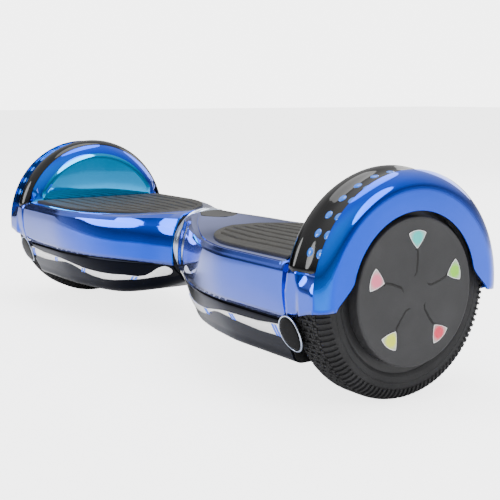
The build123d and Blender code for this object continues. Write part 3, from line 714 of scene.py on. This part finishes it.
def makeLamps(side):
    rows = []
    for number in range(lamp["columns"] + 1):
        x = mix(lamp["from"], lamp["to"], number / lamp["columns"])
        middle, half = lampEdges(x)
        rows.append([frontPoint(x, middle + half * place, lamp["lift"] + 0.8 * sqrt(1 - 0.98 * place * place) - 0.3)
                     for place in (-1, -0.85, -0.5, 0, 0.5, 0.85, 1)])
    bm = bmesh.new()
    strip(bm, rows)
    faceSheet(bm, (0, -1, 0))
    piece("headlight", bm, clearLens, side, "half", ["headlight_lens"], 60, 1.2)
    bm = bmesh.new()
    for centre in lamp["leds"]:
        middle, half = lampEdges(centre)
        for offset in (-lamp["ledHalfGap"], lamp["ledHalfGap"]):
            rows = []
            for part in (-0.9, -0.45, 0, 0.45, 0.9):
                x = centre + offset - part * lamp["ledSlant"]
                rows.append([frontPoint(x + width, middle + half * part, lamp["lift"] + 0.9)
                             for width in (-lamp["ledHalfWidth"], 0.0, lamp["ledHalfWidth"])])
            strip(bm, rows)
    facePatches(bm, (0, -1, 0))
    piece("headlight_leds", bm, ledBlue, side, "half", [], 60, 0.4)


guard = {
    "x": 250.3,
    "z": 56.8,
    "halfX": 11.8,
    "halfZ": 13.0,
    "outer": 90.3,             # radius about the axle
    # rings from the edge inwards, as (share of the oval, lift)
    "pad": ((1.0, -0.9), (0.985, -0.2), (0.94, 0.1), (0.8, 0.25), (0.5, 0.32), (0.25, 0.34)),
    # the rim is a painted highlight: a bright chrome ring where the glossy bumper shows an edge highlight
    "rim": ((1.0, 0.0), (1.03, 0.25), (1.075, 0.25), (1.1, -0.1), (1.1, -1.0)),
}


def makeGuards(side):
    # black oval bumpers that wrap the tyre just below the fender's legs, each with a thin bright chrome rim laid
    # along its edge as a painted highlight
    for sign, label in ((-1, "front"), (1, "rear")):
        for part, shape in (("guard", guard["pad"]), ("guard_rim", guard["rim"])):
            rings = []
            for scale, lift in shape:
                points = []
                for number in range(72):
                    turn = 2 * pi * number / 72
                    x = guard["x"] + guard["halfX"] * scale * cos(turn)
                    z = guard["z"] + guard["halfZ"] * scale * sin(turn)
                    radius = guard["outer"] + lift - 0.35
                    points.append((x, sign * sqrt(radius ** 2 - (z - axleZ) ** 2), z))
                rings.append(points)
            bm = bmesh.new()
            strip(bm, rings, closed=True)
            if part == "guard":
                edges = [edge for edge in bm.edges if edge.is_boundary and all(
                    abs(vert.co.x - guard["x"]) < guard["halfX"] * 0.3 for vert in edge.verts)]
                bmesh.ops.holes_fill(bm, edges=edges, sides=0)
            faceSheet(bm, (0, sign, 0))
            nodes = ["corner_guards"] if part == "guard" and sign < 0 else []
            piece(label + "_" + part, bm, brightRing if part == "guard_rim" else satinBlack, side, "half", nodes,
                  50, 2.0 if part == "guard" else 0.6)


status = {"from": 6.2, "to": 34.0, "half": 24.0, "rows": 24, "columns": 12}


def makeStatus(side):
    rows = []
    for number in range(status["rows"] + 1):
        u = number / status["rows"]
        x = mix(status["from"], status["to"], u)
        half = min(status["half"] * sqrt(clamp(1 - u ** 2.4)), bodyAt(x)[1] - 1.2) + 0.05
        profile = upperRow(x)
        row = []
        for step in range(status["columns"] + 1):
            y = mix(-half, half, step / status["columns"])
            z = heightAt(profile, y)
            row.append((x, y, z + 0.3 - 0.35 * (y / (half + 0.01)) ** 8))
        rows.append(row)
    bm = bmesh.new()
    strip(bm, rows)
    faceSheet(bm, (0, 0, 1))
    piece("status_window", bm, blackGloss, side, "half", ["status_lens"], 60, 0.8)


def heightAt(profile, y):
    # height of an upper section's top at a distance from the middle
    tops = [(py, pz) for px, py, pz in profile if pz > seamZ + 10]
    for (y0, z0), (y1, z1) in zip(tops, tops[1:]):
        if min(y0, y1) <= y <= max(y0, y1) and abs(y1 - y0) > 0.01:
            return mix(z0, z1, (y - y0) / (y1 - y0))
    return tops[len(tops) // 2][1]


tyre = {
    "rim": 63.0,
    "shoulder": 11.0,          # radius of the rounded edge
    "steps": 112,              # lugs around each shoulder
    "lug": 1.5,                # height
    "lineRadius": 70.0,        # fine line on the sidewall
    "shoulderFrom": 11.0,      # distance from the tread's middle where the shoulder lugs begin
    "lugInset": 0.25,
    "blockInset": 0.35,
    "blockLength": 4.2,
}


def tyreProfile():
    inner, outer = tyreLow[0], tyreHigh[0]
    crown = tyreRadius - tyre["lug"]
    soft = tyre["shoulder"]
    right = [(outer - 2.0, tyre["rim"]), (outer - 0.3, tyre["rim"] + 2.5), (outer, tyre["rim"] + 5.0),
             (outer, tyre["lineRadius"] - 0.5), (outer - 0.35, tyre["lineRadius"]), (outer, tyre["lineRadius"] + 0.5),
             (outer - 0.3, crown - soft)]
    for angle in (12, 25, 38, 52, 66, 80, 90):
        turn = radians(angle)
        right.append((outer - 0.3 - soft * (1 - cos(turn)), crown - soft * (1 - sin(turn))))
    middle = (inner + outer) / 2
    left = [(2 * middle - x, radius) for x, radius in reversed(right)]
    band = [mix(right[-1][0], left[0][0], t / 6) for t in range(1, 6)]
    return right + [(x, crown) for x in band] + left


def makeTyre(side):
    profile = tyreProfile()
    bm = bmesh.new()
    turned(bm, profile, tyre["steps"] * 2, closed=True)
    faceOut(bm)
    stepAngle = 360 / (tyre["steps"] * 2)
    middle = (tyreLow[0] + tyreHigh[0]) / 2
    lugs, blocks = [], []
    for face in bm.faces:
        point = face.calc_center_median()
        radius = sqrt(point.y ** 2 + (point.z - axleZ) ** 2)
        turn = degrees(atan2(point.z - axleZ, -point.y)) % 360
        slot = int(turn / stepAngle)
        fromMiddle = abs(point.x - middle)
        if radius < tyreRadius - tyre["lug"] - tyre["shoulder"] + 2.5:
            continue
        if fromMiddle > tyre["shoulderFrom"]:
            if slot % 2 == 0:
                lugs.append(face)
        else:
            row = int((point.x - middle + 40) / tyre["blockLength"])
            if (slot + row * 2) % 4 != 0:
                blocks.append(face)
    bmesh.ops.inset_region(bm, faces=lugs, thickness=tyre["lugInset"], depth=tyre["lug"] * 0.95, use_boundary=True)
    bmesh.ops.inset_individual(bm, faces=blocks, thickness=tyre["blockInset"], depth=tyre["lug"] * 0.9)
    piece("lugged_tyre", bm, tyreRubber, side, "wheel", ["tyre"], 25)


cover = {"outer": coverHigh[2] - axleZ, "face": coverHigh[0], "from": coverLow[0], "edge": 1.6}


def makeCover(side):
    outer, face, start = cover["outer"], cover["face"], cover["from"]
    soft = cover["edge"]
    profile = [(start, 0.0), (start, outer - 0.4), (face - soft - 0.2, outer)]
    for angle in (20, 40, 60, 80):
        turn = radians(angle)
        profile.append((face - 0.2 - soft + soft * sin(turn), outer - soft + soft * cos(turn)))
    profile += [(face - 0.2, outer - soft - 0.5), (face - 0.45, outer - 3.0), (face - 0.3, 40.0), (face - 0.25, 0.0)]
    bm = bmesh.new()
    turned(bm, profile, 160, closed=False)
    faceOut(bm)
    piece("wheel_cover", bm, hubGrey, side, "wheel", ["hub_cover"], 40)


windowLook = {
    "orbit": 41.0,             # distance of the windows from the axle
    "colors": ("#00C8C0", "#EC6C8C", "#DCE81E", "#E01040", "#86D400"),   # anticlockwise from the top
    "lights": ("mint", "rose", "lemon", "pink", "lime"),
    "height": 7.9,
    "glow": 0.3,
}


def windowOutline(scale):
    # a rounded triangle with its point towards the hub and a bowed outer side, as (tangential, radial)
    corners = [(0.0, -0.95), (1.02, 0.42), (-1.02, 0.42)]
    points = []
    for index, (ax, ay) in enumerate(corners):
        bx, by = corners[(index + 1) % 3]
        bow = (0.10, 0.26, 0.10)[index]
        outX, outY = (by - ay), -(bx - ax)
        length = sqrt(outX ** 2 + outY ** 2)
        for step in range(12):
            t = step / 12
            push = bow * sin(pi * t) ** 0.8
            points.append((scale * (mix(ax, bx, t) + outX / length * push),
                           scale * (mix(ay, by, t) + outY / length * push)))
    return points


def makeWindows(side):
    size = windowLook["height"]
    face = cover["face"] - 0.3
    for number, (color, label) in enumerate(zip(windowLook["colors"], windowLook["lights"])):
        angle = radians(90 + 72 * number)
        centre = (side * face, side * windowLook["orbit"] * cos(angle), axleZ + windowLook["orbit"] * sin(angle))
        lens = glowing("tinted" + label.capitalize() + ("Right" if side > 0 else "Left"), "#B4BDB8", color,
                       windowLook["glow"], centre, 10.5)
        for part, scale, lift, material in (("frame", 1.05, 0.12, clearLens), ("window", 1.0, 0.24, lens)):
            bm = bmesh.new()
            rings = []
            for shrink, height in ((1.0, -0.6), (1.0, lift * 0.4), (0.95, lift * 0.9), (0.85, lift), (0.5, lift)):
                outline = [(t * shrink, r * shrink) for t, r in windowOutline(size * scale)]
                points = []
                for t, r in outline:
                    across, out = t, windowLook["orbit"] + r
                    y = out * cos(angle) + across * sin(angle)
                    z = out * sin(angle) - across * cos(angle)
                    points.append((face + height, y, axleZ + z))
                rings.append(points)
            strip(bm, rings, closed=True)
            bmesh.ops.holes_fill(bm, edges=[edge for edge in bm.edges if edge.is_boundary], sides=0)
            faceOut(bm)
            nodes = ["wheel_windows"] if number == 0 and part == "window" else []
            piece("_".join((label, part)), bm, material, side, "wheel", nodes, 50)


hooks = {"from": 13.0, "to": 33.0, "width": 1.9, "hook": 3.2}


def makeHooks(side):
    # thin black strips on the cover, painted shade standing in for the shading beside its sculpted spokes, that run
    # from near the hub towards each window and end in a small hook
    bm = bmesh.new()
    face = cover["face"] - 0.26
    start, end, hook = hooks["from"], hooks["to"], hooks["hook"]
    path = [(start - 1.0, -hook), (start, -hook * 0.4), (start + 3, 0.4), (mix(start, end, 0.6), 0.9),
            (end - 1.5, 0.4), (end, -1.8)]
    for number in range(5):
        angle = radians(90 + 72 * number)
        rows = []
        for index, (out, across) in enumerate(path):
            tip = index in (0, len(path) - 1)
            width = hooks["width"] / 2 * (0.4 if tip else 1.0)
            row = []
            for part in (-1, 0, 1):
                o, a = out + (part * width if tip else 0), across + part * width
                row.append((face + 0.05 * (1 - abs(part)), o * cos(angle) + a * sin(angle),
                            axleZ + o * sin(angle) - a * cos(angle)))
            rows.append(row)
        strip(bm, rows)
    facePatches(bm, (1, 0, 0))
    piece("cover_lines", bm, paintedSpokeShade, side, "wheel", [], 60, 0.1)


for side in (1, -1):
    makeShells(side)
    makeRing(side)
    makeMat(side)
    makeTrim(side)
    makeLamps(side)
    makeGuards(side)
    makeStatus(side)
    makeTyre(side)
    makeCover(side)
    makeWindows(side)
    makeHooks(side)
    print("half", side, "made")


nodeFinish = {
    "frame": castAluminium, "axle_clamp": castAluminium, "rotor_can": paintedRim, "motor_cover": paintedRim,
    "clamp_bolts": zincSteel, "shell_screws": zincSteel, "axle": zincSteel, "centre_tube": zincSteel,
    "tube_circlip": zincSteel, "wheel_bearings": zincSteel, "magnets": zincSteel, "stator": laminations,
    "windings": copperWire, "sensor_board": circuit, "headlight_board": circuit, "main_board": circuit,
    "battery_pack": packSleeve, "battery_strap": blackNylon, "centre_bushes": acetal, "power_button": brightRing,
    "charge_socket": blackNylon, "charge_cap": matRubber,
}
for nodeName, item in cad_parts.items():
    kind = nodeName.replace("left_", "").replace("right_", "")
    if kind in nodeFinish:
        for slotItem in item.material_slots:
            slotItem.material = nodeFinish[kind]
print("design nodes finished")


studio = {
    "camera": (0.8279, -0.5132, 0.2294),
    "target": (0.07346, 0.0, 0.08919),
    "lens": 72.7,
    "floorSize": 14.0,
    "floorLift": 3.0,          # light that only the camera sees, so that the floor looks nearly white
    "skyLift": 5.0,
    "lights": (                # name, place, size in metres, power in watts
        ("overhead", (0.1, 0.2, 1.9), 1.6, 26.0),
        ("frontLeft", (-0.9, -1.7, 0.9), 0.9, 16.0),
        ("rightSide", (1.9, 0.5, 1.1), 1.0, 16.0),
        ("rear", (-0.4, 1.8, 1.0), 1.2, 10.0),
    ),
}


def makeStudio():
    mesh = bpy.data.meshes.new("floor")
    bm = bmesh.new()
    bmesh.ops.create_grid(bm, x_segments=8, y_segments=8, size=studio["floorSize"])
    bm.to_mesh(mesh)
    bm.free()
    floor = bpy.data.objects.new("floor", mesh)
    bpy.context.collection.objects.link(floor)
    backdrop = grained("paleBackdrop", "#F6F6F7", "#FAFAFA", (0.6, 0.7), 30.0, 0.00001)
    tree = backdrop.node_tree
    shader = next(node for node in tree.nodes if node.type == "BSDF_PRINCIPLED")
    shader.inputs["Emission Color"].default_value = (1.0, 1.0, 1.0, 1.0)
    lit = addNode(tree, "ShaderNodeMath", {"operation": "MULTIPLY", 1: studio["floorLift"]},
                  {0: addNode(tree, "ShaderNodeLightPath").outputs["Is Camera Ray"]})
    tree.links.new(lit.outputs["Value"], shader.inputs["Emission Strength"])
    mesh.materials.append(backdrop)

    world = bpy.data.worlds.new("studio")
    bpy.context.scene.world = world
    world.use_nodes = True
    tree = world.node_tree
    tree.nodes.clear()
    coords = addNode(tree, "ShaderNodeTexCoord").outputs["Generated"]
    parts = addNode(tree, "ShaderNodeSeparateXYZ", links={0: coords})
    sky = colorRamp(tree, addNode(tree, "ShaderNodeMapRange", {"From Min": -0.3, "From Max": 1.0},
                                  {"Value": parts.outputs["Z"]}).outputs["Result"],
                    [(0.0, 0.75), (0.22, 0.55), (0.36, 0.16), (0.5, 0.62), (0.8, 1.0)])
    # the far left of the room is dark, which deepens the left half's front
    darkSide = addNode(tree, "ShaderNodeVectorMath", {"operation": "DOT_PRODUCT", 1: (-0.95, -0.31, 0.05)},
                       {0: coords})
    shade = colorRamp(tree, darkSide.outputs["Value"], [(0.925, 1.0), (0.972, 0.05)])
    mixed = addNode(tree, "ShaderNodeMixRGB", {"blend_type": "MULTIPLY", "Fac": 1.0},
                    {"Color1": sky, "Color2": shade})
    rays = addNode(tree, "ShaderNodeLightPath").outputs["Is Camera Ray"]
    seen = addNode(tree, "ShaderNodeMixRGB", {"Color2": [studio["skyLift"]] * 3 + [1]},
                   {"Fac": rays, "Color1": mixed.outputs["Color"]})
    background = addNode(tree, "ShaderNodeBackground", {"Strength": 1.0}, {"Color": seen.outputs["Color"]})
    output = addNode(tree, "ShaderNodeOutputWorld")
    tree.links.new(background.outputs["Background"], output.inputs["Surface"])

    for name, place, size, power in studio["lights"]:
        data = bpy.data.lights.new(name, "AREA")
        data.shape = "DISK"
        data.size = size
        data.energy = power
        lampItem = bpy.data.objects.new(name, data)
        lampItem.location = place
        lampItem.rotation_euler = (Vector(studio["target"]) - Vector(place)).to_track_quat("-Z", "Y").to_euler()
        bpy.context.collection.objects.link(lampItem)

    data = bpy.data.cameras.new("camera")
    data.lens = studio["lens"]
    data.sensor_width = 36.0
    camera = bpy.data.objects.new("camera", data)
    camera.location = studio["camera"]
    view = Vector(studio["target"]) - Vector(studio["camera"])
    camera.rotation_euler = view.to_track_quat("-Z", "Y").to_euler()
    bpy.context.collection.objects.link(camera)
    bpy.context.scene.camera = camera


makeStudio()
print("studio made")
